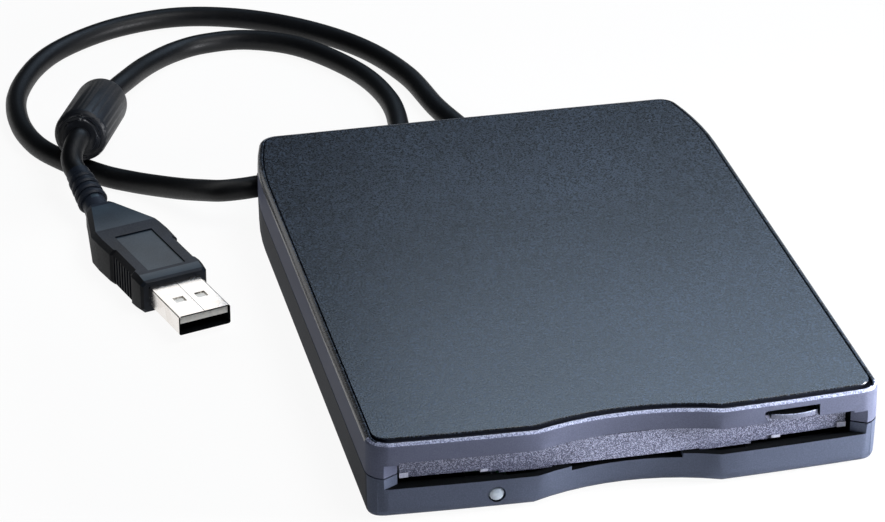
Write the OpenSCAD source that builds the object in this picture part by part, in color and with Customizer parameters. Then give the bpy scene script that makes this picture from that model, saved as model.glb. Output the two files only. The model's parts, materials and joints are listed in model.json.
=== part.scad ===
// Slim external drive for 3.5 inch floppy disks, with a fixed lead and plug.
// Millimetres. X is the width, Y the depth with the slot at -Y, Z is up.
// Z = 0 is the surface that the drive stands on.

/* [Housing] */
// Width of the housing
body_w = 104; // [103:0.5:106]
// Depth of the housing, front to back
body_d = 142; // [141:0.5:144]
// Height of the housing without its feet
body_h = 17; // [17:0.25:18]
// Height of the joint between the two shells
part_z = 9.75; // [9.6:0.05:9.9]
// Thickness of the moulded walls
wall = 1.8; // [1.6:0.1:2]
// How far the front edge bows out over the full width
front_bow = 1.9; // [1:0.1:2.4]
// How far the back edge bows out over the full width
back_bow = 0.3; // [0:0.1:0.6]
// How far each side draws in towards the back
rear_draw = 3; // [1:0.25:4]
// Length over which the sides draw in
rear_draw_len = 22; // [16:1:30]
// Radius of the upright corner edges
corner_r = 4.5; // [4:0.25:5]
// Radius of the top edge
top_r = 1.25; // [1:0.05:1.4]
// Radius of the bottom edge
bottom_r = 2.2; // [1.6:0.1:2.4]
// Height of the feet below the housing
foot_h = 0.5; // [0.4:0.1:0.8]

/* [Front] */
// Width of the finger scoop
scoop_w = 37.2; // [30:0.5:40]
// Depth of the scoop in the top cover
scoop_top = 3; // [2:0.1:3.2]
// Depth of the scoop at the bottom edge
scoop_low = 3.8; // [2.5:0.1:4]
// Width of the disk slot between its end walls
slot_w = 92; // [91.5:0.1:92.5]
// Height of the lip below the slot
slot_low = 7.4; // [7.2:0.1:7.5]
// Height of the upper edge of the slot
slot_top = 13.2; // [13.1:0.05:13.3]
// Width of the angled facet at each end of the slot
facet_w = 3.3; // [2:0.1:3.5]
// Depth of that facet
facet_d = 2; // [1:0.1:2.2]
// Thickness of the flap that closes the slot
door_t = 1; // [0.9:0.1:1.1]
// Distance of the flap behind the front edge
door_inset = 3.4; // [3.3:0.05:3.5]
// Width of the eject button
button_w = 9.8; // [8:0.1:9.9]
// Diameter of the lamp lens
lens_d = 3.1; // [2.6:0.1:3.2]

/* [Mechanism] */
// Stroke of the eject button
eject_travel = 4.5; // [3:0.25:4.5]
// Drop of the disk holder as a disk seats
holder_drop = 1.8; // [1.5:0.1:1.8]
// Position of the spindle along the depth
spindle_y = -19; // [-20:0.25:-18]
// Radius of the spindle motor's rotor
rotor_r = 20; // [16:0.5:20]
// Distance of the outermost track from the spindle
outer_track_r = 39.5; // [39:0.25:40]
// Pin radius of the mechanism's cam pins
cam_pin_r = 0.9; // [0.7:0.05:0.9]

/* [Lead] */
// Diameter of the lead
cord_d = 5; // [4.6:0.1:5.2]
// Diameter of the moulded ferrite core
ferrite_d = 12.4; // [12:0.2:12.8]
// Width of the plug's steel shell
shell_w = 12; // [11.8:0.05:12.1]
// Height of the plug's steel shell
shell_h = 4.5; // [4.4:0.05:4.6]
// Length of the steel shell in view
shell_len = 15.2; // [14.6:0.1:15.6]

/* [Hidden] */
$fn = 48;

// Housing levels and lines
half_w = body_w / 2;
half_d = body_d / 2;
base_z = foot_h;
top_z = base_z + body_h;
floor_z = base_z + 1.6;
roof_z = top_z - 1.6;
joint_gap = 0.3;
case_rim_z = part_z - joint_gap / 2;
cover_rim_z = part_z + joint_gap / 2;
tongue_in = 1;
tongue_h = 0.9;
groove_depth = 0.7;
case_draft = 0.4;
cover_draft = 0.1;
rim_in = cover_draft + top_r;
// Share of the edge radius that the front edge keeps out of, and of the bottom radius that the sides do
front_fill = 0.5;
side_fill = 0.7;
half_scoop = scoop_w / 2;
half_slot = slot_w / 2;
crest = front_bow * pow(half_scoop / half_w, 2);
cheek_t = 1.4;
cheek_back = -half_d + 8;
facet_block = facet_d + 0.6;
slip = 0.08;
sheet = 0.6;

// ---- plan outline of the housing ----

// Front edge without the scoop; it reaches its foremost line at the two scoop creases
function bow_y(x) = -half_d - crest + front_bow * pow(x / half_w, 2);
function back_y(x) = half_d - back_bow * pow(x / half_w, 2);

// Scoop: an arc through both creases, s deep in the middle
function scoop_r(s) = (pow(half_scoop, 2) + s * s) / (2 * s);
function scoop_y(x, s) = -half_d + s - scoop_r(s) + sqrt(pow(scoop_r(s), 2) - x * x);

// Side of the housing: straight, then drawn in towards the back
draw_angle = atan(2 * rear_draw / rear_draw_len);
corner_x = half_w - rear_draw - corner_r * cos(draw_angle);
draw_end = back_y(corner_x) - corner_r + corner_r * sin(draw_angle);
draw_start = draw_end - rear_draw_len;
function side_x(y) = half_w - rear_draw * pow(max(0, y - draw_start) / rear_draw_len, 2);

front_corner = [half_w - corner_r, bow_y(half_w - corner_r) + corner_r];
right_half = concat(
    [for (k = [0 : 4]) let (x = half_scoop + k * (front_corner[0] - half_scoop) / 5) [x, bow_y(x)]],
    [for (a = [-86 : 14 : -2]) front_corner + corner_r * [cos(a), sin(a)]],
    [for (k = [0 : 5]) let (y = draw_start + k * rear_draw_len / 5) [side_x(y), y]],
    [for (a = [draw_angle + 12 : 14 : 88]) [corner_x + corner_r * cos(a),
        draw_end - corner_r * sin(draw_angle) + corner_r * sin(a)]],
    [for (k = [3 : -1 : 1]) [corner_x * k / 4, back_y(corner_x * k / 4)]]
);
last = len(right_half) - 1;

// Whole outline, anticlockwise seen from above, with a scoop s deep
function plan(s) = concat(
    [for (k = [-4 : 4]) let (x = k * half_scoop / 5) [x, scoop_y(x, s)]],
    right_half,
    [[0, back_y(0)]],
    [for (k = [last : -1 : 0]) [-right_half[k][0], right_half[k][1]]]
);

function unit(v) = v / norm(v);
function turned(v) = [-v[1], v[0]];

// Outline moved inwards by d, corners mitred
function inset(pts, d) = [for (i = [0 : len(pts) - 1])
    let (n = len(pts), before = unit(turned(pts[i] - pts[(i + n - 1) % n])),
        after = unit(turned(pts[(i + 1) % n] - pts[i])))
    pts[i] + d * (before + after) / (1 + before * after)];

// Scoop depth at a height: it grows towards the bottom edge
function scoop_at(z) = scoop_low + (scoop_top - scoop_low) * min(1, max(0, (z - base_z) / (slot_top - base_z)));

// Profiles are steps of inset and height; a third value moves the front edge back, a fourth widens the sides
function given(value) = is_num(value) ? value : 0;
function is_front(p) = p[1] < front_corner[1] + 1;
function shell_ring(step) = [for (p = inset(plan(scoop_at(step[1])), step[0]))
    [p[0] * (1 + given(step[3]) / half_w), p[1] + (is_front(p) ? given(step[2]) : 0), step[1]]];

function middle(ring) = [for (i = [0 : 2]) [for (p = ring) p[i]] * [for (p = ring) 1]] / len(ring);

// Closed skin over rings of equal length, each end capped by a fan round its middle
module loft(rings) {
    n = len(rings[0]);
    m = len(rings);
    skin = [for (i = [0 : m - 2], j = [0 : n - 1]) each [
        [i * n + j, (i + 1) * n + j, (i + 1) * n + (j + 1) % n],
        [i * n + j, (i + 1) * n + (j + 1) % n, i * n + (j + 1) % n]]];
    fans = [for (j = [0 : n - 1]) each [
        [m * n, j, (j + 1) % n],
        [m * n + 1, (m - 1) * n + (j + 1) % n, (m - 1) * n + j]]];
    polyhedron(concat([for (r = rings) each r], [middle(rings[0]), middle(rings[m - 1])]),
        concat(skin, fans), convexity = 6);
}

function arc_steps(centre, r, from, to, count) = [for (k = [0 : count])
    let (a = from + (to - from) * k / count) centre + r * [-sin(a), cos(a)]];

cover_profile = concat(
    [[wall + 0.6, roof_z], [wall, roof_z - 0.5], [wall, part_z + tongue_h + 0.1],
     [tongue_in - 0.1, part_z + tongue_h + 0.1], [tongue_in - 0.1, cover_rim_z], [0, cover_rim_z]],
    [for (s = arc_steps([rim_in, top_z - top_r], top_r, 90, 10, 5))
        [s[0], s[1], -front_fill * (s[0] - cover_draft)]],
    [[rim_in, top_z - 0.04, -front_fill * top_r], [rim_in + 0.03, top_z - groove_depth, -front_fill * top_r],
     [rim_in + 0.17, top_z - groove_depth, 0.93], [rim_in + 0.2, top_z - 0.2, 0.95], [rim_in + 0.3, top_z, 1.1]]
);
case_profile = concat(
    [for (s = arc_steps([case_draft + bottom_r, base_z + bottom_r], bottom_r, 180, 90, 5))
        [s[0], s[1], 0, side_fill * s[0]]],
    [[0, case_rim_z], [tongue_in, case_rim_z], [tongue_in, part_z + tongue_h], [wall, part_z + tongue_h],
     [wall, floor_z + 0.5], [wall + 0.6, floor_z]]
);

// Mirrors a piece to the other side as well
module both_sides() {
    children();
    mirror([1, 0, 0]) children();
}

module block(low, high) {
    translate(low) cube(high - low);
}

// Cylinder between two heights
module post(x, y, low, high, r) {
    translate([x, y, low]) cylinder(h = high - low, r = r);
}

// Cylinder along X or Y
module x_rod(low, high, y, z, r) {
    translate([low, y, z]) rotate([0, 90, 0]) cylinder(h = high - low, r = r);
}
module y_rod(x, low, high, z, r) {
    translate([x, low, z]) rotate([-90, 0, 0]) cylinder(h = high - low, r = r);
}

// ---- front mouth shared by the two shells ----

// Plan of the slot with its angled end facets
module mouth_plan() {
    reach = half_slot + facet_w;
    polygon([[-reach - 1, -half_d - 3], [-reach, bow_y(reach)], [-half_slot, bow_y(half_slot) + facet_d],
        [-half_slot, cheek_back + 1], [half_slot, cheek_back + 1], [half_slot, bow_y(half_slot) + facet_d],
        [reach, bow_y(reach)], [reach + 1, -half_d - 3]]);
}

// Solid ends of the slot, inside the side walls
module slot_ends(low, high) {
    front = bow_y(half_slot) + 1;
    both_sides() {
        block([half_slot, front, low], [half_slot + cheek_t, cheek_back, high]);
        block([half_slot, front, low], [half_w - wall, front + facet_block - 1, high]);
    }
}

hinge_y = bow_y(half_slot) + door_inset + door_t / 2;
hinge_z = 12.65;
hinge_pin_r = 0.5;
bush_y = 61.4;
bush_z = part_z - 0.2;
bush_r = 3;
rear_post_x = 36;
rear_post_y = 63.5;
post_r = 3;

module top_cover() {
    button_x = 33.6;
    notch_left = button_x - button_w / 2 - 1.5;
    notch_right = button_x + button_w / 2 + 0.2;
    color("#3a4049") difference() {
        union() {
            loft([for (step = cover_profile) shell_ring(step)]);
            slot_ends(cover_rim_z, roof_z + 0.1);
            both_sides() post(rear_post_x, rear_post_y, part_z, roof_z + 0.1, post_r);
        }
        translate([0, 0, -1]) linear_extrude(slot_top - 0.5 + 1) mouth_plan();
        block([-half_slot, -half_d - 3, part_z - 1], [half_slot, cheek_back + 1, slot_top]);
        both_sides() x_rod(half_slot - 1, half_slot + cheek_t + 0.5, hinge_y, hinge_z, hinge_pin_r + slip);
        translate([0, -half_d + 6, 0]) rotate([90, 0, 0]) linear_extrude(9) polygon([
            [notch_left, slot_top + 2.3], [notch_left + 0.5, slot_top + 2.7], [notch_right, slot_top + 2.7],
            [notch_right, slot_top - 0.5], [notch_left + 1.3, slot_top - 0.5], [notch_left + 0.2, slot_top + 1.1]]);
        x_rod(-half_w - 1, -half_w + 7, bush_y, bush_z, bush_r);
        both_sides() post(rear_post_x, rear_post_y, part_z - 1, part_z + 4.5, 0.9);
    }
}

foot_r = 4;
foot_pocket = 0.8;
foot_places = [[-42, -56], [42, -56], [-38, 54], [38, 54]];
lamp_x = -26.7;
lamp_z = 4;
lens_step = 2.35;
lens_flange = 0.6;
chassis_low = 4.2;
chassis_top = 4.8;
chassis_posts = [[-40, -49], [40, -49], [-40, 42], [40, 42]];
board_posts = [[-27, -43], [27, -43], [-27, -2], [27, -2]];
board_low = 2.5;
board_top = 3.1;
lip_notch_half = 11.3;

// Ledge behind the lip on one side of the finger notch
sill_from = 24.6;

module sill() {
    steps = [for (k = [0 : 5]) sill_from + k * (half_slot + 0.5 - sill_from) / 5];
    translate([0, 0, slot_low - 2.4]) linear_extrude(1.6) polygon(concat(
        [for (x = steps) [x, bow_y(x) + wall - 0.2]],
        [for (k = [5 : -1 : 0]) [steps[k], bow_y(steps[k]) + 4]]));
}

module bottom_case() {
    color("#333840") difference() {
        union() {
            loft([for (step = case_profile) shell_ring(step)]);
            slot_ends(floor_z - 0.1, case_rim_z);
            both_sides() sill();
            for (p = chassis_posts) post(p[0], p[1], floor_z - 0.1, chassis_low, 2.6);
            both_sides() post(rear_post_x, rear_post_y, floor_z - 0.1, part_z, post_r);
        }
        translate([0, 0, slot_low]) linear_extrude(20) mouth_plan();
        block([-half_w - 1, -half_d - 3, case_rim_z], [half_w + 1, cheek_back + 1, top_z]);
        block([-lip_notch_half, -half_d - 3, slot_low - 1], [lip_notch_half, cheek_back, slot_low + 1]);
        y_rod(lamp_x, -half_d - 3, -half_d + 6, lamp_z, lens_d / 2 + 0.2);
        y_rod(lamp_x, bow_y(lamp_x) + lens_step - 0.05, cheek_back, lamp_z, lens_d / 2 + lens_flange + 0.1);
        x_rod(-half_w - 1, -half_w + 7, bush_y, bush_z, bush_r);
        for (p = foot_places) post(p[0], p[1], base_z - 1, base_z + foot_pocket, foot_r + 0.1);
        for (p = chassis_posts) post(p[0], p[1], floor_z + 0.3, chassis_low + 1, 0.8);
        both_sides() {
            post(rear_post_x, rear_post_y, base_z - 1, base_z + 4.2, 2.1);
            post(rear_post_x, rear_post_y, base_z - 1, part_z + 1, 1.1);
        }
    }
}

// ---- flap over the slot ----
door_half = half_slot - 0.6;
door_low = 7.6;
door_high = 13;
door_lugs = [[-29.4, -27.9], [29.8, 31.6]];

module slot_door() {
    tongue = [15, 25.6];
    pad_x = door_half - 1.8;
    front_line = [for (k = [-10 : 10]) let (x = k * door_half / 10) [x, bow_y(x) + door_inset]];
    back_line = [for (k = [10 : -1 : -10]) let (x = k * door_half / 10) [x, bow_y(x) + door_inset + door_t]];
    color("#4a4a5c") difference() {
        union() {
            difference() {
                translate([0, 0, door_low - 0.5]) linear_extrude(door_high - door_low + 0.5)
                    polygon(concat(front_line, back_line));
                both_sides() block([tongue[1], -half_d, door_low - 1], [half_slot, -half_d + 9, door_low]);
                block([-tongue[0], -half_d, door_low - 1], [tongue[0], -half_d + 9, door_low - 0.1]);
            }
            both_sides() x_rod(door_half - 0.1, half_slot + cheek_t + 0.1, hinge_y, hinge_z, hinge_pin_r);
            x_rod(half_slot, half_w - wall - 0.5, hinge_y, hinge_z, hinge_pin_r);
            for (lug = door_lugs)
                block([lug[0], bow_y(lug[0]) + door_inset - 0.3, door_low + 0.2],
                    [lug[1], bow_y(lug[0]) + door_inset + 0.6, door_low + 0.8]);
            both_sides() block([pad_x, bow_y(pad_x) + door_inset - 0.25, door_low + 0.45],
                [door_half, bow_y(pad_x) + door_inset + 0.6, door_low + 1.55]);
        }
        block([door_lugs[1][1], -half_d, door_low - 1], [half_slot, -half_d + 9, door_low + 0.4]);
        block([-half_slot, -half_d, door_low - 1], [door_lugs[0][0], -half_d + 9, door_low + 0.4]);
    }
}

// ---- wound springs ----
// Wire of radius w on a helix of radius r along Z
module coil(r, w, pitch, turns, steps = 8, sides = 6) {
    rings = [for (k = [0 : turns * steps])
        let (a = 360 * k / steps, c = [r * cos(a), r * sin(a), pitch * k / steps],
            out = [cos(a), sin(a), 0], along = unit([-r * sin(a), r * cos(a), pitch / (2 * PI)]),
            up = cross(along, out))
        [for (j = [0 : sides - 1]) let (b = -360 * j / sides) c + w * (cos(b) * up + sin(b) * out)]];
    loft(rings);
}

module door_spring() {
    color("silver") translate([half_slot + cheek_t + 0.45, hinge_y, hinge_z]) rotate([0, 90, 0])
        coil(0.8, 0.16, 0.4, 4);
}

spring_r = 1.35;
spring_x = 44.6;
spring_z = 10.5;
spring_front = 31;
spring_turns = 9;
spring_wire = 0.2;
tail_end = 45.2;
spring_pitch = (tail_end - sheet - spring_front - 2 * spring_wire) / spring_turns;

module eject_spring(side) {
    color("silver") translate([side * spring_x, spring_front + spring_wire, spring_z]) rotate([-90, 0, 0])
        coil(spring_r, spring_wire, spring_pitch, spring_turns);
}

// ---- eject button, slider and disk holder ----
button_x = 33.6;
slider_low = 13.45;
slider_high = 14.05;
button_back = -59;

module eject_button() {
    bulge_r = 13.8;
    front = bow_y(button_x) - 0.1;
    color("#4c4c5e") union() {
        intersection() {
            post(button_x, front + bulge_r, slider_low, slider_low + 1.1, bulge_r);
            block([button_x - button_w / 2, front - 1, slider_low], [button_x + button_w / 2, front + 3, slider_low + 1.1]);
        }
        block([button_x - 3.5, front + 2.5, slider_low], [button_x + 3.5, button_back, slider_high]);
    }
}

// Pins on the holder that ride in the slider's slanted slots and the chassis's upright slots
cam_ys = [-42, 10];
cam_z = 9.4;
holder_x = 46;
holder_sheet = 0.6;
holder_front = -58.5;
holder_back = 29;
holder_low = 6.7;
holder_top = 12.3;
flange_x = 47;
chassis_x = 48.1;

// Slot from one point to another for a pin of radius r, cut along X
module pin_slot(from, to, r, low, high) {
    run = to - from;
    x_rod(low, high, from[0], from[1], r);
    x_rod(low, high, to[0], to[1], r);
    translate([low, from[0], from[1]]) rotate([atan2(run[1], run[0]), 0, 0])
        translate([0, 0, -r]) cube([high - low, norm(run), 2 * r]);
}

module eject_slider() {
    color("#b9bcc0") difference() {
        union() {
            block([-flange_x - sheet, -57, slider_low], [flange_x + sheet, 17, slider_high]);
            block([button_x - 3.5, button_back, slider_low], [button_x + 3.5, -56.9, slider_high]);
            both_sides() {
                block([flange_x, -57, 6], [flange_x + sheet, 17, slider_low + 0.1]);
                block([flange_x, 16.9, spring_z - 1], [flange_x + sheet, tail_end, spring_z + 1]);
                block([spring_x - 1.6, tail_end - sheet, spring_z - 1],
                    [flange_x + 0.1, tail_end, spring_z + 1]);
            }
        }
        block([-38, -48, slider_low - 1], [38, 18, slider_high + 1]);
        both_sides() {
            block([flange_x - 1, -34, 5], [flange_x + 2, 2, 12]);
            for (y = cam_ys)
                pin_slot([y, cam_z], [y + eject_travel, cam_z - holder_drop], cam_pin_r + slip,
                    flange_x - 0.5, flange_x + sheet + 0.5);
        }
    }
}

module disk_holder() {
    color("#c3c6ca") difference() {
        union() {
            difference() {
                block([-holder_x, holder_front, holder_low], [holder_x, holder_back, holder_top]);
                block([-holder_x + holder_sheet, holder_front - 1, holder_low + 0.55],
                    [holder_x - holder_sheet, holder_back + 1, holder_top - holder_sheet]);
                block([-43.4, holder_front - 1, holder_low - 1], [43.4, holder_back + 1, holder_low + 1]);
            }
            both_sides() for (y = cam_ys)
                x_rod(holder_x - 0.3, chassis_x + sheet + 0.2, y, cam_z, cam_pin_r);
        }
        block([-8, 2, holder_top - 1], [8, holder_back + 1, holder_top + 1]);
        post(0, spindle_y, holder_top - 1, holder_top + 1, 9);
        both_sides() block([14, -50, holder_top - 1], [34, -6, holder_top + 1]);
    }
}

// ---- chassis ----
chassis_front = -57.5;
chassis_back = 50;
arm_slot_half = 8;
screw_x = 22;
screw_z = 7.6;
rod_x = 11;
rod_z = 7;
clamp_ys = [27.4, 55.2];

module drive_chassis() {
    color("#a9adb2") difference() {
        union() {
            block([-chassis_x - sheet, chassis_front, chassis_low], [chassis_x + sheet, chassis_back, chassis_top]);
            both_sides() {
                block([chassis_x, chassis_front, chassis_low], [chassis_x + sheet, chassis_back, 12.4]);
                block([spring_x - 1.6, spring_front - sheet, chassis_low],
                    [spring_x + 1.4, spring_front, spring_z + 1]);
            }
            block([screw_x - 3, 27.4, chassis_low], [screw_x + 3, 28.2, screw_z + 2]);
            block([screw_x - 6, 50.5, chassis_low], [screw_x + 6, 51.3, screw_z + 5]);
            block([screw_x - 6, chassis_back - 0.1, chassis_low], [screw_x + 6, 50.6, chassis_top]);
            block([rod_x - 3, chassis_back - 0.1, chassis_low], [rod_x + 3, 57.5, chassis_top]);
            for (p = board_posts) post(p[0], p[1], board_top, chassis_low + 0.1, 1.4);
        }
        post(0, spindle_y, chassis_low - 1, chassis_top + 1, rotor_r + 1);
        block([-arm_slot_half, -1, chassis_low - 1], [arm_slot_half, 46, chassis_top + 1]);
        both_sides() for (y = cam_ys)
            pin_slot([y, cam_z], [y, cam_z - holder_drop], cam_pin_r + slip, chassis_x - 0.5, chassis_x + sheet + 0.5);
        for (p = chassis_posts) post(p[0], p[1], chassis_low - 1, chassis_top + 1, 1.2);
        y_rod(screw_x, 27, 28.6, screw_z, 1.4 + slip);
        y_rod(screw_x, 50, 52, screw_z, 2.2);
        both_sides() block([14, 4, chassis_low - 1], [34, 24, chassis_top + 1]);
    }
}

// Pan head screw along Z, head down when flipped
module pan_screw(shaft_r, head_r, head_h, len) {
    rotate_extrude() polygon([[0, head_h], [head_r * 0.7, head_h], [head_r, head_h * 0.4], [head_r, 0],
        [shaft_r, 0], [shaft_r, -len], [0, -len]]);
}

module chassis_screws() {
    color("#8c8f94") for (p = chassis_posts) translate([p[0], p[1], chassis_top])
        difference() {
            pan_screw(0.78, 2.2, 0.6, 2.2);
            for (a = [0, 90]) rotate([0, 0, a]) translate([-1.1, -0.2, 0.3]) cube([2.2, 0.4, 1]);
        }
}

module case_screws() {
    color("#8c8f94") both_sides() translate([rear_post_x, rear_post_y, base_z + 4.2]) rotate([180, 0, 0])
        difference() {
            pan_screw(0.88, 1.9, 1.3, 8.5);
            for (a = [0, 90]) rotate([0, 0, a]) translate([-1, -0.2, 0.8]) cube([2, 0.4, 1]);
        }
}

// Rubber feet: discs with a rounded rim, glued in their pockets
module rubber_feet() {
    color("#1c1c1e") for (p = foot_places) translate([p[0], p[1], 0]) rotate_extrude() polygon([[0, 0],
        [foot_r - 0.6, 0], [foot_r - 0.17, 0.17], [foot_r, 0.5], [foot_r, base_z + foot_pocket],
        [0, base_z + foot_pocket]]);
}

// ---- spindle motor ----

module spindle_board() {
    color("#2e6b45") difference() {
        union() {
            block([-30, -46, board_low], [30, 0.5, board_top]);
            block([lamp_x - 4, -63, board_low], [lamp_x + 4, -45.9, board_top]);
            block([-24, 0.4, board_low], [-12, 12, board_top]);
        }
        post(0, spindle_y, board_low - 1, board_top + 1, 2.4);
    }
}

module stator_coils() {
    color("#b06a38") for (k = [0 : 8]) rotate_about_spindle(k * 40) translate([14, 0, board_top])
        difference() {
            flat_oval(3.4, 0.8);
            translate([0, 0, -0.5]) flat_oval(1.4, 2);
        }
}
module rotate_about_spindle(a) {
    translate([0, spindle_y, 0]) rotate([0, 0, a]) children();
}
// Low oval, half-width r, for a flat motor coil
module flat_oval(r, height) {
    for (side = [-1, 1]) translate([side * 1.2, 0, 0]) cylinder(h = height, r = r);
    translate([-1.2, -r, 0]) cube([2.4, 2 * r, height]);
}

module spindle_bearing() {
    color("#b8975a") translate([0, spindle_y, 0]) rotate_extrude() polygon([[1.5, floor_z + 0.05],
        [4.4, floor_z + 0.05], [4.4, board_low], [2.3, board_low], [2.3, board_top + 0.8], [1.5, board_top + 0.8]]);
}

module spindle_rotor() {
    color("#c9ccd0") translate([0, spindle_y, 0]) union() {
        difference() {
            rotate_extrude() polygon([[0, floor_z + 0.1], [1.45, floor_z + 0.1], [1.45, 4.1], [rotor_r - 1, 4.1],
                [rotor_r - 1, 3.7], [rotor_r, 3.7], [rotor_r, 5.1], [13, 5.1], [12, 5.5], [11.4, 5.5], [2, 5.5],
                [2, 6.8], [1.6, 7.2], [0, 7.2]]);
            for (k = [0 : 5]) rotate([0, 0, 60 * k + 30]) post(16.3, 0, 3, 6, 1.5);
        }
        post(10, 0, 5.4, 6.9, 1.2);
    }
}

// ---- head carriage, its screw and rod ----
head_y = spindle_y + outer_track_r;
carriage_front = 44.6;
carriage_back = 54;
arm_pivot = [0, 51, 12.9];
screw_r = 1.4;

module head_carriage() {
    color("#2b2b2e") difference() {
        union() {
            block([-6, head_y - 2.6, 3.4], [6, carriage_front + 1, 5.2]);
            block([-6, carriage_front, 4.9], [rod_x + 3, carriage_back, 9.2]);
            block([rod_x + 2.9, carriage_front + 3, 6], [screw_x + 2.6, carriage_back - 4, 9.4]);
            block([-6, 47, 9.1], [-4.4, carriage_back, 14.4]);
            block([4.4, 47, 9.1], [6, carriage_back, 14.4]);
        }
        y_rod(rod_x, carriage_front - 1, carriage_back + 1, rod_z, 1.5 + slip);
        y_rod(screw_x, carriage_front, carriage_back, screw_z, screw_r + slip);
        x_rod(-7, 7, arm_pivot[1], arm_pivot[2], 0.82);
        block([-3, 26, 3], [3, 43, 6]);
        block([-4, 46, 6], [4, 52, 9.3]);
    }
}

module lower_head() {
    color("#d8d4cc") block([-2, head_y - 1.5, 5.2], [2, head_y + 1.5, 7.1]);
}

module arm_pin() {
    color("#c9ccd0") x_rod(-6, 6, arm_pivot[1], arm_pivot[2], 0.8);
}

module head_arm() {
    boss_r = 1.6;
    color("#c3c6ca") difference() {
        union() {
            block([-4, head_y - 3, 12.8], [4, arm_pivot[1], 13.4]);
            x_rod(-4.2, 4.2, arm_pivot[1], arm_pivot[2], boss_r);
            both_sides() block([3.4, head_y + 2, 12.8], [4, arm_pivot[1], 14.2]);
        }
        x_rod(-5, 5, arm_pivot[1], arm_pivot[2], 0.8 + slip);
        block([-2, head_y + 6, 12], [2, arm_pivot[1] - 6, 15]);
    }
}

module upper_head() {
    color("#d8d4cc") union() {
        block([-2, head_y - 1.5, 10.9], [2, head_y + 1.5, 11.6]);
        block([-3, head_y - 2.5, 11.6], [3, head_y + 2.5, 12.8]);
    }
}

module stepper_motor() {
    color("#9a9da2") translate([screw_x, 0, screw_z]) rotate([-90, 0, 0]) difference() {
        rotate_extrude() polygon([[1.5, 50.55], [2.1, 50.55], [2.1, 51.35], [5.1, 51.35], [5.1, 62.5], [0, 62.5],
            [0, 61], [1.5, 61]]);
        translate([0, 0, 51]) rotate_extrude() translate([5.2, 5.6]) square([0.4, 0.4], center = true);
    }
}

module lead_screw() {
    color("#c9ccd0") y_rod(screw_x, 27.2, 60.9, screw_z, screw_r);
}

module guide_rod() {
    color("#d2d5d9") y_rod(rod_x, clamp_ys[0], clamp_ys[1] + 2, rod_z, 1.5);
}

module rod_clamps() {
    color("#a9adb2") for (y = clamp_ys) difference() {
        block([rod_x - 2.6, y, chassis_top], [rod_x + 2.6, y + 1.6, rod_z + 2.4]);
        y_rod(rod_x, y - 1, y + 3, rod_z, 1.5);
    }
}

// ---- shutter lever ----
lever_pivot = [-36, 35];
lever_len = 23;
lever_low = 7.7;
lever_high = 8.5;
lever_angle = -80;

module shutter_lever() {
    color("#8d9196") difference() {
        union() {
            translate([lever_pivot[0], lever_pivot[1], lever_low]) rotate([0, 0, lever_angle]) {
                translate([0, -2, 0]) cube([lever_len, 4, lever_high - lever_low]);
                translate([lever_len, 0, 0]) cylinder(h = lever_high - lever_low, r = 2);
                translate([lever_len, 0, -0.3]) cylinder(h = 2.2, r = 1.2);
            }
            post(lever_pivot[0], lever_pivot[1], lever_low, lever_high + 1, 3.2);
        }
        post(lever_pivot[0], lever_pivot[1], lever_low - 1, lever_high + 2, 1.5 + slip);
    }
}

module lever_pin() {
    color("#c9ccd0") translate([lever_pivot[0], lever_pivot[1], chassis_top]) rotate_extrude() polygon([[0, 0],
        [2.4, 0], [2.4, lever_low - chassis_top - 0.1], [1.5, lever_low - chassis_top - 0.1],
        [1.5, 5.2], [2.2, 5.2], [2.2, 5.7], [0, 5.7]]);
}

// ---- boards ----
module sensor_switches() {
    color("#222222") for (p = [[-41, -54.6], [41, -54.6], [37.5, 32]]) union() {
        block([p[0] - 1.4, p[1] - 1.4, chassis_top], [p[0] + 1.4, p[1] + 1.4, chassis_top + 1]);
        post(p[0], p[1], chassis_top + 0.9, chassis_top + 1.8, 0.6);
    }
}

module lamp_emitter() {
    color("#e9efe6") union() {
        block([lamp_x - 1.6, -62.4, board_top], [lamp_x + 1.6, -59.9, 5.4]);
        y_rod(lamp_x, -63.4, -62.3, lamp_z, 0.8);
    }
}

module led_lens() {
    front = bow_y(lamp_x) + 0.45;
    flange = bow_y(lamp_x) + lens_step;
    color("#c8d2dc") translate([lamp_x, 0, lamp_z]) rotate([-90, 0, 0]) rotate_extrude() polygon([
        [0, front - 0.25], [lens_d * 0.25, front - 0.18], [lens_d * 0.42, front], [lens_d / 2, front + 0.35],
        [lens_d / 2, flange], [lens_d / 2 + lens_flange, flange], [lens_d / 2 + lens_flange, flange + 0.5],
        [1.1, flange + 0.5],
        [1.1, -63.5], [0, -63.5]]);
}

usb_board_low = 3.4;
usb_board_top = 4.2;

module usb_board() {
    color("#2e6b45") union() {
        block([-31, 57, usb_board_low], [14, 67.2, usb_board_top]);
        block([-30, 58, usb_board_top], [-24, 63, usb_board_top + 3]);
        both_sides() post(12, 62, floor_z, usb_board_low, 1.6);
    }
}

module bridge_chip() {
    color("#1b1b1d") translate([-6, 62, usb_board_top]) union() {
        block([-3.5, -3.5, 0.15], [3.5, 3.5, 1.15]);
        for (a = [0 : 90 : 270]) rotate([0, 0, a]) for (k = [-3 : 3])
            block([3.4, k * 0.9 - 0.2, 0], [4.4, k * 0.9 + 0.2, 0.3]);
    }
}

// Flat cable from the spindle board to the rear board, folded down between them
module flat_cable() {
    color("#d9d2bd") translate([-23, 0, 0]) rotate([90, 0, 90]) linear_extrude(10) polygon([
        [1, board_top], [12, board_top], [14, floor_z + 0.35], [54, floor_z + 0.35], [56, usb_board_top],
        [60, usb_board_top], [60, usb_board_top + 0.2], [55.85, usb_board_top + 0.2], [53.9, floor_z + 0.55],
        [14.1, floor_z + 0.55], [12.1, board_top + 0.2], [1, board_top + 0.2]]);
}

// ---- lead ----
bush_end = -50.2;

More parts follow.
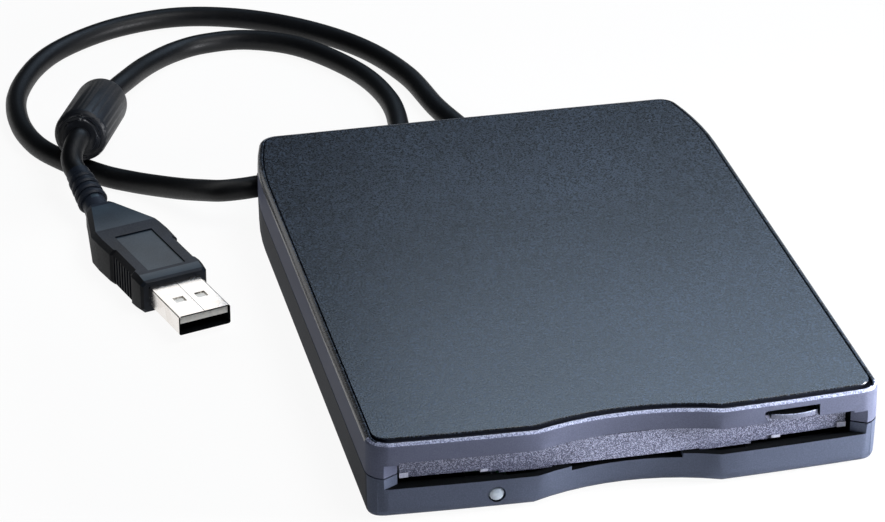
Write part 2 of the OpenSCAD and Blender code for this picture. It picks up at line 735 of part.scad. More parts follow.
module cable_bush() {
    color("#141416") translate([0, bush_y, bush_z]) rotate([0, -90, 0]) rotate_extrude() polygon([
        [0, 44.6], [cord_d / 2, 44.6], [cord_d / 2, 45.8], [4.2, 45.8], [4.2, 47.2], [bush_r - 0.05, 47.2],
        [bush_r - 0.05, -bush_end], [0, -bush_end]]);
}

// Route of the lead, chosen by hand along the photographed loop; the turn behind the housing is out of view
lay = cord_d / 2;
cord_route = [
    [-50.2, 61.4, 9.55], [-54, 61.4, 9.3], [-58.5, 62.8, 8.6], [-62, 66.5, 7.3], [-66, 72, 5.4],
    [-71, 78.7, 3.5], [-76, 84, lay], [-82, 88.8, lay], [-89.5, 98, lay], [-95, 108, lay],
    [-97.6, 121, lay], [-96.2, 136, lay], [-90, 151.5, lay], [-81, 162.5, lay], [-67, 171.2, lay],
    [-51, 174.3, lay], [-35, 169.5, lay], [-20.5, 159, lay], [-9, 144.5, lay], [-2, 127, lay],
    [1, 108, lay], [4.2, 95, lay], [6.5, 84.5, lay], [3.8, 77.5, lay], [-3.3, 74.4, lay],
    [-10.4, 77.5, lay], [-13.3, 85.5, lay], [-10, 99, lay], [-9.3, 115, lay], [-13.5, 132, lay],
    [-24, 149, lay], [-36, 156.4, lay], [-47, 156.6, lay], [-55.5, 152.5, 2.8], [-63.5, 143.8, 3.9],
    [-70.4, 132.8, 5.3]
];
tail_route = [
    [-88.3, 86.6, 11.9], [-89.4, 84, 10.5], [-89.5, 81.6, 9.1]
];
core_far = [-77.4, 120.4, 6.4];
core_near = [-86.8, 89.8, 12.2];

// Smooth curve through the points p[i-1], p[i], p[i+1], p[i+2]
function bend_point(a, b, c, d, t) = 0.5 * (2 * b + (c - a) * t + (2 * a - 5 * b + 4 * c - d) * t * t
    + (3 * b - a - 3 * c + d) * t * t * t);
function smooth(p, parts) = [for (i = [0 : len(p) - 2], k = [0 : parts - 1])
    bend_point(p[max(i - 1, 0)], p[i], p[i + 1], p[min(i + 2, len(p) - 1)], k / parts), p[len(p) - 1]];
function heading(p, i) = unit(p[min(i + 1, len(p) - 1)] - p[max(i - 1, 0)]);
function hose_ring(c, along, r, sides) = let (side = unit(cross([0, 0, 1], along)), up = cross(along, side))
    [for (j = [0 : sides - 1]) let (a = 360 * (j + 0.5) / sides) c + r * (cos(a) * side + sin(a) * up)];

module hose(p, first, final) {
    count = len(p) - 1;
    loft([for (i = [0 : count]) hose_ring(p[i],
        i == 0 ? first : i == count ? final : heading(p, i), cord_d / 2, 10)]);
}

core_axis = unit(core_near - core_far);
plug_tip = [-70.8, 11.6, 4.3];
plug_turn = -74.2;
boot_start = [-88.7, 79.2, 8];

module usb_cord() {
    path = smooth(concat(cord_route, [core_far - 3 * core_axis, core_far]), 2);
    color("#17181c") hose(path, [-1, 0, 0], core_axis);
}

module usb_cord_tail() {
    path = smooth(concat([core_near, core_near + 1.5 * core_axis], tail_route, [boot_start]), 2);
    color("#17181c") hose(path, core_axis, boot_axis);
}

module place_core() {
    tilt = acos(core_axis[2]);
    turn = atan2(core_axis[1], core_axis[0]);
    translate(core_far) rotate([0, tilt, turn]) children();
}

module ferrite_core() {
    len = norm(core_near - core_far);
    r = ferrite_d / 2;
    color("#1b1d22") place_core() rotate_extrude() polygon([[0, 0], [3.4, 0], [4.6, 0.3], [5.6, 1], [r - 0.1, 2],
        [r, 3.2], [r, len - 2.6], [r - 0.3, len - 1.6], [r - 1, len - 1], [r - 1.4, len - 1], [r - 1.5, len - 0.5],
        [r - 2.2, len - 0.5], [r - 2.3, len], [0, len]]);
}

// ---- plug ----
boot_len = 17;
grip_back = 55;
boot_end = [plug_tip[0] - grip_back * cos(plug_turn), plug_tip[1] - grip_back * sin(plug_turn), 4.5];
boot_axis = unit(boot_end - boot_start);

module place_plug() {
    translate(plug_tip) rotate([0, 0, plug_turn]) children();
}

// Stations along the grip: distance behind the tip, half width, low and high side from the axis, bevel
grip_stations = [
    [55.2, 3.4, -3, 3.3, 1.2], [53.5, 3.9, -3.3, 3.6, 1.2], [41, 8.2, -4.2, 4.2, 1.1], [37, 8.3, -4.3, 4.2, 1],
    [31.4, 8.1, -4.3, 4.2, 1], [30.8, 7.6, -4.3, 4.2, 1], [20.6, 7.6, -4.3, 4.2, 1], [20, 8.1, -4.3, 4.2, 1],
    [18, 8, -4.3, 4.1, 1], [shell_len + 0.6, 7.8, -4, 3.7, 0.9], [shell_len, 7.3, -3.6, 3.3, 0.8]
];
function grip_ring(s) = let (x = -s[0], w = s[1], low = s[2], high = s[3], b = s[4]) [
    [x, w, low + b], [x, w, high - b], [x, w - b, high], [x, b - w, high],
    [x, -w, high - b], [x, -w, low + b], [x, b - w, low], [x, w - b, low]];

module plug_overmold() {
    span = norm(boot_end - boot_start);
    ring_count = 4;
    ring_pitch = 2.35;
    ring_start = 2;
    flare = ring_start + ring_count * ring_pitch;
    color("#1b1d22") union() {
        difference() {
            place_plug() loft([for (s = grip_stations) grip_ring(s)]);
            place_plug() block([-36.8, -4.4, 3.85], [-19, 4.4, 6]);
            place_plug() block([-17, -(shell_w / 2), -shell_h / 2], [-shell_len + 0.3, shell_w / 2, shell_h / 2]);
            place_plug() for (k = [0 : 6]) both_edges() block([-30.4 + k * 1.4, 7.15, -3.2], [-29.6 + k * 1.4, 9, 3.2]);
        }
        translate(boot_start) rotate([0, acos(boot_axis[2]), atan2(boot_axis[1], boot_axis[0])]) {
            cylinder(h = span + 0.4, r = 2.75);
            translate([0, 0, flare]) cylinder(h = span - flare, r1 = 2.7, r2 = 3.2);
            for (k = [0 : ring_count - 1]) translate([0, 0, ring_start + k * ring_pitch])
                rotate_extrude() polygon([[0, 0], [2.8 + 0.1 * k, 0], [3.05 + 0.12 * k, 0.35], [3.1 + 0.12 * k, 1.1],
                    [2.85 + 0.1 * k, 1.6], [0, 1.6]]);
        }
    }
}
module both_edges() {
    children();
    mirror([0, 1, 0]) children();
}

shell_sheet = 0.3;

// Rounded rectangle in the plug's section, drawn exactly
module rounded_bar(w, h, r, from, to) {
    translate([from, 0, 0]) rotate([90, 0, 90]) linear_extrude(to - from) union() {
        square([w - 2 * r, h], center = true);
        square([w, h - 2 * r], center = true);
        for (x = [-1, 1], y = [-1, 1]) translate([x * (w / 2 - r), y * (h / 2 - r)]) circle(r = r, $fn = 24);
    }
}

module plug_shell() {
    color("#d5d7da") place_plug() difference() {
        rounded_bar(shell_w, shell_h, 0.5, -17, 0);
        rounded_bar(shell_w - 2 * shell_sheet, shell_h - 2 * shell_sheet, 0.25, -18, 1);
        for (y = [-2.5, 2.5]) block([-8.3, y - 1.25, -4], [-5.9, y + 1.25, 4]);
        block([-18, -0.06, shell_h / 2 - 0.15], [1, 0.06, shell_h]);
    }
}

module plug_insert() {
    reach = shell_w / 2 - shell_sheet - 0.1;
    color("#e4e2dc") place_plug() block([-16.9, -reach, shell_h / 2 - shell_sheet - 1.75],
        [-0.4, reach, shell_h / 2 - shell_sheet - 0.1]);
}

module plug_contacts() {
    color("#c9a227") place_plug() for (y = [-3.5, -1, 1, 3.5]) {
        reach = abs(y) > 2 ? -1.2 : -2.2;
        block([-12, y - 0.5, shell_h / 2 - shell_sheet - 1.95], [reach, y + 0.5, shell_h / 2 - shell_sheet - 1.75]);
    }
}

top_cover();
bottom_case();
slot_door();
door_spring();
eject_button();
led_lens();
rubber_feet();
case_screws();
cable_bush();
drive_chassis();
chassis_screws();
spindle_board();
stator_coils();
spindle_bearing();
spindle_rotor();
stepper_motor();
lead_screw();
guide_rod();
rod_clamps();
head_carriage();
lower_head();
head_arm();
arm_pin();
upper_head();
disk_holder();
eject_slider();
eject_spring(-1);  // eject_spring_left
eject_spring(1);  // eject_spring_right
shutter_lever();
lever_pin();
sensor_switches();
lamp_emitter();
usb_board();
bridge_chip();
flat_cable();
usb_cord();
ferrite_core();
usb_cord_tail();
plug_overmold();
plug_shell();
plug_insert();
plug_contacts();
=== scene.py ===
# %% [markdown]
# A slim external drive for floppy disks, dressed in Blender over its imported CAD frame.
# The frame gives every housing part and every inner piece its place. This lesson adds the camera,
# the lead, the finishes and the small shapes that catch the light.

# %% Load the frame
import bpy
import json
import math
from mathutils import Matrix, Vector


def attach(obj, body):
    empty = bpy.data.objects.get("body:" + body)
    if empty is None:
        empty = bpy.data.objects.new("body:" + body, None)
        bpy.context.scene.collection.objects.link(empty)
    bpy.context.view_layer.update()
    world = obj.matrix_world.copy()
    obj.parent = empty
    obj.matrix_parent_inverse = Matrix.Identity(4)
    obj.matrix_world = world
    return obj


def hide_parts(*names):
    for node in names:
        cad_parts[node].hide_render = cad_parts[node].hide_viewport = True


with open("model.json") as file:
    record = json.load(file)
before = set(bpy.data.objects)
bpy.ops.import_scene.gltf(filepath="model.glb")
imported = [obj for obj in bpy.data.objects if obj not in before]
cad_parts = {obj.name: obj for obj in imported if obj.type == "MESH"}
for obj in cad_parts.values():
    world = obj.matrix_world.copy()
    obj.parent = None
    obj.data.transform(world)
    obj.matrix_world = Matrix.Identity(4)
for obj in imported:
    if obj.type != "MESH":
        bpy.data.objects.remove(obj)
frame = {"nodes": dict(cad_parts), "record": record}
nodes = frame["nodes"]
rides_on = {node: body for body, group in frame["record"]["behaviour"]["bodies"].items() for node in group}
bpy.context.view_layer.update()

MM = 0.001
scene = bpy.context.scene
scene.view_settings.view_transform = "Standard"

# %% [markdown]
# The photograph was taken from a little left of the slot, looking down at the drive with a long lens.
# The camera stands where the edges of the housing fit the photograph. Its lens is given for a sensor
# 36 mm wide, and it is aimed with a track to a point on the floor, so that it needs no roll.

# %% Camera
camera_place = Vector((-166.96, -643.67, 365.55)) * MM
camera_target = Vector((-14.11, 33.77, 0.5)) * MM
camera_data = bpy.data.cameras.new("photo_camera")
camera_data.lens = 144.3
camera_data.sensor_width = 36
camera_data.clip_start = 0.01
camera = bpy.data.objects.new("photo_camera", camera_data)
camera.location = camera_place
camera.rotation_euler = (camera_target - camera_place).to_track_quat("-Z", "Y").to_euler()
scene.collection.objects.link(camera)
scene.camera = camera
print("camera distance", round((camera_target - camera_place).length, 3))

# %% [markdown]
# Every finish is built from shader nodes. One helper adds a node with its settings and its links,
# and another turns a written sRGB colour to the linear values that Blender mixes. Patterns read Object
# coordinates in metres, so a grain of 0.3 mm has a scale of 1 / 0.0003.

# %% Helpers for materials
def srgb(code, alpha=1.0):
    """Linear RGBA of a written colour such as #30343a."""
    values = [int(code[i:i + 2], 16) / 255 for i in (1, 3, 5)]
    return [v / 12.92 if v <= 0.04045 else ((v + 0.055) / 1.055) ** 2.4 for v in values] + [alpha]


def put(tree, kind, inputs=None, stops=None, **settings):
    """Adds a node, sets its options, fills or links its inputs, and gives a ramp its stops."""
    made = tree.nodes.new(kind)
    for name, value in settings.items():
        setattr(made, name, value)
    for name, value in (inputs or {}).items():
        if isinstance(value, bpy.types.NodeSocket):
            tree.links.new(value, made.inputs[name])
        else:
            made.inputs[name].default_value = value
    for i, (place, color) in enumerate(stops or []):
        stop = made.color_ramp.elements[i] if i < 2 else made.color_ramp.elements.new(place)
        stop.position, stop.color = place, srgb(color)
    return made


def finish(name, inputs):
    """A material with one shader. Returns it with its node tree, the shader and Object coordinates."""
    material = bpy.data.materials.new(name)
    material.use_nodes = True
    tree = material.node_tree
    tree.nodes.clear()
    shader = put(tree, "ShaderNodeBsdfPrincipled", inputs)
    put(tree, "ShaderNodeOutputMaterial", {"Surface": shader.outputs[0]})
    return material, tree, shader, put(tree, "ShaderNodeTexCoord").outputs["Object"]


def feed(tree, shader, **sources):
    """Links node outputs to the shader's inputs, such as Base_Color=ramp."""
    for name, source in sources.items():
        tree.links.new(source.outputs[0], shader.inputs[name.replace("_", " ")])


def wear(material, *names):
    """Puts a material on CAD nodes or pieces."""
    for name in names:
        mesh = bpy.data.objects[name].data
        mesh.materials.clear()
        mesh.materials.append(material)


# %% [markdown]
# The housing is moulded in black ABS. The tool was spark eroded, so the lid has an even pebbled grain
# about 0.36 mm across, and the frame round it has a finer, satin one that hardly mirrors at a low angle.
# Its rounded edge is smoother and catches the light, and its pale colour there is a painted highlight.
# The case below is a shade darker; its sides are painted darker still as shade, and the groove round the
# panel is painted dark as shade. Seen at a low angle the pebbles show as pale specks, which are painted
# into the lid's colour as glints over its grain, so one noise drives the bump, the colour and the roughness.

# %% Moulded ABS of the lid and its frame
def moulded_abs(name, dark, pale, grain_mm, relief_mm, rough, stops, specular=0.5):
    """Spark-eroded ABS: pebbles grain_mm across and relief_mm deep, from dark to pale between two stops."""
    material, tree, shader, where = finish(name, {"IOR": 1.5, "Roughness": rough, "Specular IOR Level": specular})
    pebbles = put(tree, "ShaderNodeTexNoise", {"Vector": where, "Scale": 1 / (grain_mm * MM), "Detail": 2.0,
                                               "Roughness": 0.55})
    cloud = put(tree, "ShaderNodeTexNoise", {"Vector": where, "Scale": 1 / (45 * MM), "Detail": 1.0})
    blend = put(tree, "ShaderNodeMix", {"Factor": 0.12, "A": pebbles.outputs["Fac"], "B": cloud.outputs["Fac"]})
    tone = put(tree, "ShaderNodeValToRGB", {"Fac": blend.outputs[0]},
               stops=[(stops[0], dark), (stops[1], pale)])
    sheen = put(tree, "ShaderNodeMapRange", {"Value": pebbles.outputs["Fac"], "From Min": 0.3, "From Max": 0.7,
                                             "To Min": rough - 0.07, "To Max": rough + 0.08})
    relief = put(tree, "ShaderNodeBump", {"Height": pebbles.outputs["Fac"], "Strength": 1.0,
                                          "Distance": relief_mm * MM})
    feed(tree, shader, Base_Color=tone, Roughness=sheen, Normal=relief)
    return material


# Painted glints: the lid's pale pebbles stand in for the light they catch, over the grain's own tone.
abs_lid = moulded_abs("spark_eroded_abs_lid_with_painted_glints", "#04070c", "#364356", 0.36, 0.026, 0.28, (0.5, 0.68))
abs_frame = moulded_abs("satin_abs_frame", "#494d60", "#54586b", 0.22, 0.010, 0.65, (0.38, 0.62), 0.2)
# Painted highlight: the pale colour of the rounded front edge stands in for the light it catches.
painted_highlight_edge = moulded_abs("painted_highlight_abs_edge", "#5a607a", "#b0b7d2", 0.3, 0.04, 0.4, (0.4, 0.62))
abs_case = moulded_abs("satin_abs_case", "#3f4657", "#495062", 0.25, 0.010, 0.65, (0.38, 0.62), 0.2)
# Painted shade: the darker colour of the sides stands in for the shade they lie in.
painted_shade_flank = moulded_abs("painted_shade_abs_side", "#25282f", "#2d3038", 0.25, 0.010, 0.7, (0.38, 0.62), 0.15)
# Painted shade: the dark colour of the groove stands in for the shade in it.
painted_shade_groove = moulded_abs("painted_shade_abs_groove", "#0b0e16", "#121622", 0.3, 0.01, 0.8, (0.38, 0.62), 0.1)

# %% [markdown]
# The flap over the slot has a sharper grain than the housing, with a salt-and-pepper sparkle painted into its
# colour. Each pebble is a cell of its own brightness, 0.17 mm across, so a Voronoi cell colour gives the
# specks, the pale ones as painted sparkle, and a noise breaks up their edges. The little stops on its lower
# edge are painted near white as a highlight.

# %% Flap, stops and eject button
sparkle_abs, tree, shader, where = finish("coarse_grained_abs_flap_painted_sparkle", {"IOR": 1.5, "Roughness": 0.42})
cells = put(tree, "ShaderNodeTexVoronoi", {"Vector": where, "Scale": 1 / (0.17 * MM)})
cell_tone = put(tree, "ShaderNodeSeparateColor", {"Color": cells.outputs["Color"]})
fleck = put(tree, "ShaderNodeTexNoise", {"Vector": where, "Scale": 1 / (0.14 * MM), "Detail": 0.0})
mixed = put(tree, "ShaderNodeMath", {0: cell_tone.outputs[0], 1: fleck.outputs["Fac"]}, operation="MULTIPLY")
tone = put(tree, "ShaderNodeValToRGB", {"Fac": mixed.outputs[0]},
           stops=[(0.03, "#3b3e52"), (0.5, "#abafc7"), (0.25, "#5f637b")])
relief = put(tree, "ShaderNodeBump", {"Height": mixed.outputs[0], "Strength": 0.6, "Distance": 0.03 * MM})
feed(tree, shader, Base_Color=tone, Normal=relief)

# Painted highlight: the stops are painted near white for the light they catch.
painted_highlight_stop, tree, shader, where = finish("painted_highlight_abs_stop", {"Roughness": 0.25})
glint_cloud = put(tree, "ShaderNodeTexNoise", {"Vector": where, "Scale": 1 / (0.6 * MM), "Detail": 3.0})
tone = put(tree, "ShaderNodeValToRGB", {"Fac": glint_cloud.outputs["Fac"]}, stops=[(0.3, "#b4b7ca"), (0.7, "#dadded")])
feed(tree, shader, Base_Color=tone)

abs_button = moulded_abs("satin_abs_button", "#5a5e70", "#6a6e82", 0.25, 0.008, 0.3, (0.38, 0.62))

# %% [markdown]
# The lens is clear polycarbonate over a pale emitter, so it looks grey-blue with one sharp highlight. The
# lead and the plug's grip are black PVC: the jacket is extruded and a little shiny along its length, and
# the grip is moulded over the wires and more matt. The floor of its recess is etched, so it looks paler,
# and the ribs on its sides are painted darker as shade. The feet are soft rubber with a dull, dusty skin.

# %% Lens, PVC and rubber
lens_clear, tree, shader, where = finish("polished_polycarbonate", {
    "IOR": 1.58, "Roughness": 0.08, "Coat Weight": 0.6, "Coat Roughness": 0.05})
haze = put(tree, "ShaderNodeTexNoise", {"Vector": where, "Scale": 1 / (1.6 * MM), "Detail": 2.0})
tone = put(tree, "ShaderNodeValToRGB", {"Fac": haze.outputs["Fac"]}, stops=[(0.3, "#7f8b99"), (0.7, "#aab4c0")])
feed(tree, shader, Base_Color=tone)


def black_pvc(name, dark, pale, grain_mm, relief_mm, rough, specular=0.5):
    """Soft PVC with a faint cloudiness and a fine skin."""
    material, tree, shader, where = finish(name, {"IOR": 1.53, "Roughness": rough, "Specular IOR Level": specular})
    cloud = put(tree, "ShaderNodeTexNoise", {"Vector": where, "Scale": 1 / (9 * MM), "Detail": 3.0})
    skin = put(tree, "ShaderNodeTexNoise", {"Vector": where, "Scale": 1 / (grain_mm * MM), "Detail": 2.0})
    tone = put(tree, "ShaderNodeValToRGB", {"Fac": cloud.outputs["Fac"]}, stops=[(0.3, dark), (0.7, pale)])
    gloss = put(tree, "ShaderNodeMapRange", {"Value": skin.outputs["Fac"], "From Min": 0.3, "From Max": 0.7,
                                             "To Min": rough - 0.05, "To Max": rough + 0.08})
    relief = put(tree, "ShaderNodeBump", {"Height": skin.outputs["Fac"], "Distance": relief_mm * MM})
    feed(tree, shader, Base_Color=tone, Roughness=gloss, Normal=relief)
    return material


pvc_jacket = black_pvc("extruded_pvc_jacket", "#030406", "#080a0e", 0.5, 0.012, 0.45, 0.22)
pvc_core = black_pvc("moulded_pvc_core", "#07090e", "#10141b", 0.4, 0.014, 0.45, 0.25)
pvc_grip = black_pvc("moulded_pvc_grip", "#0c1119", "#181f2b", 0.3, 0.010, 0.5, 0.18)
pvc_panel = black_pvc("etched_pvc_panel", "#1a252f", "#27343f", 0.3, 0.006, 0.45, 0.3)
# Painted shade: the grip's sides are darker than its top for the shade they lie in.
painted_shade_grip_flank = black_pvc("painted_shade_pvc_flank", "#07090d", "#0f1218", 0.3, 0.010, 0.6, 0.15)
rubber = black_pvc("dusty_rubber_foot", "#151516", "#232324", 0.4, 0.03, 0.75)
black_pom = black_pvc("moulded_black_pom", "#151517", "#202023", 0.6, 0.01, 0.42)
# Painted shade: this black stands in for the shade inside the slot, the notch, on the lip tops, the button's top and
# in the plug's mouth; it also colours the plug's seam.
painted_shade_and_seam_black = black_pvc("painted_shade_and_seam_black_abs", "#040608", "#080b0e", 0.6, 0.01, 0.9, 0.05)

# %% [markdown]
# The shell of the plug is steel strip, folded round and nickel plated: a warm, bright metal with faint
# drawing lines along its length. Sheet parts of the mechanism are zinc plated steel, whose crystals
# show as faint patches 2 mm across, over rolling lines. Turned rods carry fine rings round them.

# %% Metals
def drawn_metal(name, dark, pale, rough, line_mm, patch_mm=2.0, stretch=(1, 12, 1), turn=0.0):
    """Metal with drawing lines line_mm apart, stretched along one axis, over faint plated patches."""
    material, tree, shader, where = finish(name, {"Metallic": 1.0, "Roughness": rough})
    along = put(tree, "ShaderNodeMapping", {"Vector": where, "Rotation": (0, 0, turn),
                                            "Scale": tuple(1 / s for s in stretch)})
    lines = put(tree, "ShaderNodeTexNoise", {"Vector": along.outputs[0], "Scale": 1 / (line_mm * MM), "Detail": 3.0})
    patches = put(tree, "ShaderNodeTexVoronoi", {"Vector": where, "Scale": 1 / (patch_mm * MM)})
    patch_tone = put(tree, "ShaderNodeSeparateColor", {"Color": patches.outputs["Color"]})
    mixed = put(tree, "ShaderNodeMath", {0: patch_tone.outputs[0], 1: 0.3, 2: lines.outputs["Fac"]},
                operation="MULTIPLY_ADD")
    tone = put(tree, "ShaderNodeValToRGB", {"Fac": mixed.outputs[0]}, stops=[(0.35, dark), (0.85, pale)])
    gloss = put(tree, "ShaderNodeMapRange", {"Value": mixed.outputs[0], "From Min": 0.3, "From Max": 0.9,
                                             "To Min": rough - 0.05, "To Max": rough + 0.08})
    relief = put(tree, "ShaderNodeBump", {"Height": lines.outputs["Fac"], "Distance": 0.003 * MM})
    feed(tree, shader, Base_Color=tone, Roughness=gloss, Normal=relief)
    return material


PLUG_TURN = math.radians(-74.2)
nickel = drawn_metal("nickel_plated_strip", "#e4ddd6", "#f6f2ee", 0.2, 0.15, 3.0, (14, 1, 1), -PLUG_TURN)
zinc = drawn_metal("zinc_plated_sheet", "#9a9ea3", "#c4c7ca", 0.34, 0.25)
aluminium = drawn_metal("turned_aluminium", "#b9bbbe", "#d9dadb", 0.28, 0.2, 4.0, (1, 1, 1))
steel = drawn_metal("drawn_spring_steel", "#8f9296", "#c0c2c5", 0.3, 0.12, 1.5, (1, 20, 1))
screw_steel = drawn_metal("black_nickel_screw", "#4b4c50", "#6c6d72", 0.32, 0.12, 1.0, (1, 1, 1))
bronze = drawn_metal("sintered_bronze", "#8f7038", "#b8965a", 0.5, 0.2, 0.4, (1, 1, 1))
copper = drawn_metal("enamelled_copper_wire", "#8f4c24", "#c47b48", 0.3, 0.18, 1.2, (1, 1, 1))
gold = drawn_metal("gold_flashed_contact", "#c99a35", "#ecc766", 0.24, 0.1, 1.0, (8, 1, 1), -PLUG_TURN)

# %% [markdown]
# The boards are glass fibre under green solder resist, so the weave shows as a faint grid 0.8 mm across
# and the copper tracks under the resist as a paler net. The heads are lapped ceramic, the flat cable is
# polyester film with a tinned conductor each millimetre, and the plug's insert is white moulded PBT.

# %% Boards, heads, film and insert
resist, tree, shader, where = finish("green_solder_resist", {"Roughness": 0.3, "IOR": 1.5})
tracks = put(tree, "ShaderNodeTexBrick", {"Vector": where, "Scale": 1 / (5 * MM), "Color1": srgb("#1f5c37"),
                                          "Color2": srgb("#256a41"), "Mortar": srgb("#174a2b"),
                                          "Mortar Size": 0.05, "Brick Width": 0.9, "Row Height": 0.4})
weave = put(tree, "ShaderNodeTexChecker", {"Vector": where, "Scale": 1 / (0.8 * MM)})
relief = put(tree, "ShaderNodeBump", {"Height": weave.outputs["Fac"], "Distance": 0.004 * MM})
feed(tree, shader, Base_Color=tracks, Normal=relief)

ceramic, tree, shader, where = finish("lapped_ceramic", {"Roughness": 0.16, "IOR": 1.7})
clouds = put(tree, "ShaderNodeTexNoise", {"Vector": where, "Scale": 1 / (1.2 * MM), "Detail": 4.0})
tone = put(tree, "ShaderNodeValToRGB", {"Fac": clouds.outputs["Fac"]}, stops=[(0.3, "#c9c4ba"), (0.7, "#e2ddd4")])
feed(tree, shader, Base_Color=tone)

film, tree, shader, where = finish("polyester_flat_cable", {"Roughness": 0.28, "IOR": 1.6})
stripes = put(tree, "ShaderNodeTexWave", {"Vector": where, "Scale": 1 / (6.3 * MM)}, bands_direction="X")
tone = put(tree, "ShaderNodeValToRGB", {"Fac": stripes.outputs["Fac"]}, stops=[(0.4, "#cfc8b2"), (0.6, "#aeb0b2")])
feed(tree, shader, Base_Color=tone)

white_pbt, tree, shader, where = finish("moulded_white_pbt", {"Roughness": 0.38, "IOR": 1.57})
skin = put(tree, "ShaderNodeTexNoise", {"Vector": where, "Scale": 1 / (0.8 * MM), "Detail": 2.0})
tone = put(tree, "ShaderNodeValToRGB", {"Fac": skin.outputs["Fac"]}, stops=[(0.3, "#dcdad3"), (0.7, "#edebe5")])
relief = put(tree, "ShaderNodeBump", {"Height": skin.outputs["Fac"], "Distance": 0.006 * MM})
feed(tree, shader, Base_Color=tone, Normal=relief)

# %% [markdown]
# A CAD node comes in as loose triangles. The pieces in view get a welded copy, whose flat faces are
# joined and whose curved ones are shaded smooth, so that the light runs over them as over a moulding.
# Each copy stands for its CAD node and rides on the same body.

# %% Helpers for pieces
def only(piece):
    """Selects and activates one object and nothing else."""
    bpy.ops.object.select_all(action="DESELECT")
    piece.select_set(True)
    bpy.context.view_layer.objects.active = piece


def welded(node, name, angle=30):
    """A welded, smoothly shaded copy of a CAD node, which stands for it."""
    piece = bpy.data.objects.new(name, nodes[node].data.copy())
    scene.collection.objects.link(piece)
    only(piece)
    bpy.ops.object.mode_set(mode="EDIT")
    bpy.ops.mesh.select_all(action="SELECT")
    bpy.ops.mesh.remove_doubles(threshold=0.003 * MM)
    bpy.ops.mesh.dissolve_limited(angle_limit=math.radians(0.3))
    bpy.ops.object.mode_set(mode="OBJECT")
    bpy.ops.object.shade_smooth_by_angle(angle=math.radians(angle))
    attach(piece, rides_on[node])
    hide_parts(node)
    return piece


def even_normals(piece):
    """Weighs the smooth shading by face size, so that a wide face beside a narrow curve stays flat."""
    only(piece)
    piece.modifiers.new("normals", "WEIGHTED_NORMAL").keep_sharp = True
    bpy.ops.object.modifier_apply(modifier="normals")


def round_edges(piece, width_mm, segments, angle, clamp=True):
    """Rounds every edge sharper than the angle."""
    only(piece)
    edges = piece.modifiers.new("edges", "BEVEL")
    edges.width, edges.segments, edges.angle_limit = width_mm * MM, segments, math.radians(angle)
    edges.limit_method, edges.use_clamp_overlap = "ANGLE", clamp
    bpy.ops.object.modifier_apply(modifier="edges")
    bpy.ops.object.shade_smooth_by_angle(angle=math.radians(30))


def dress(piece, material, *extra):
    """Gives a piece its material and any further ones, by face rules on centre and normal in mm."""
    piece.data.materials.clear()
    piece.data.materials.append(material)
    for face in piece.data.polygons:
        face.material_index = 0
    for index, (other, rule) in enumerate(extra, 1):
        piece.data.materials.append(other)
        count = 0
        for face in piece.data.polygons:
            if rule(face.center / MM, face.normal):
                face.material_index = index
                count += 1
        print(piece.name, other.name, count, "faces")


# %% [markdown]
# The housing is two moulded shells. One welded copy of each wears several finishes on its many surfaces,
# though a moulding has one colour: a pebbled panel, a groove round it painted dark as shade, a front edge
# painted bright as a highlight, sides painted darker as shade and inner faces painted black as shade. A rule
# on the centre and the normal of a face, in mm, says which finish it wears.

# %% Housing
TOP = 17.5            # height of the lid's panel
GROOVE = TOP - 0.7    # height of the floor of the groove round it
FRONT = -64           # faces before this depth belong to the front


def front_line(x):
    """Y of the lid's front edge at x, with its scoop, in mm."""
    return math.sqrt(59.16 ** 2 - x * x) - 127.16 if abs(x) < 18.6 else 1.9 * (x / 52) ** 2 - 71.24


def inside(c, n):
    """Faces of a shell that only the slot shows; they are painted black as shade."""
    return abs(c.x) < 49.3 and -66.8 < c.y < 69 and 2 < c.z < 16.3


def in_groove(c, n):
    """Walls and floor of the groove round the lid's panel, painted dark as shade."""
    return abs(n.z) < 0.25 and TOP - 0.6 < c.z < TOP - 0.15 or abs(c.z - GROOVE) < 0.01


def on_panel(c, n):
    """The panel of the lid with the narrow chamfer round it."""
    return c.z > TOP - 0.005 or c.z > TOP - 0.19 and (c.y > FRONT or c.y - front_line(c.x) > 1.6)


def on_flank(c, n):
    """Right wall of the housing behind its front corner, painted darker as shade."""
    return n.x > 0.8 and c.y > -66


def in_notch(c, n):
    """Inner faces of the notch in the front wall, where the eject button sits, painted black as shade."""
    return 27 < c.x < 39.5 and c.y < -60 and 11.5 < c.z < 16.2 and n.y > -0.5


lid = welded("top_cover", "lid_moulding")
even_normals(lid)
# On the lid the front edge wears a painted highlight, the right wall and the groove painted shade, and the faces
# inside the slot and the notch are painted black as shade.
dress(lid, abs_frame, (painted_shade_flank, on_flank), (painted_highlight_edge, lambda c, n: c.z > TOP - 0.6 and c.y < FRONT),
      (abs_lid, lambda c, n: on_panel(c, n) or c.z > TOP - 1.2 and c.y > FRONT), (painted_shade_groove, in_groove),
      (painted_shade_and_seam_black, lambda c, n: inside(c, n) or in_notch(c, n)))
case = welded("bottom_case", "case_moulding")
even_normals(case)
# On the case the sides are painted darker as shade, and the faces inside the slot and the lip tops are painted black
# as shade.
dress(case, abs_case, (painted_shade_flank, lambda c, n: abs(n.x) > 0.8 and c.y > -66),
      (painted_shade_and_seam_black, lambda c, n: inside(c, n) or n.z > 0.9 and 2 < c.z < 7.5))
print("lid", len(lid.data.polygons), "case", len(case.data.polygons))

# %% [markdown]
# The flap closes the slot from inside, and four stops, painted pale as a highlight, stand on its lower edge.
# The button is a curved bar whose sharp edges are broken by 0.12 mm; its thin front edge is painted bright
# as a highlight, and its top is painted black as shade.

# %% Flap, button and lamp
flap = welded("slot_door", "slot_flap")


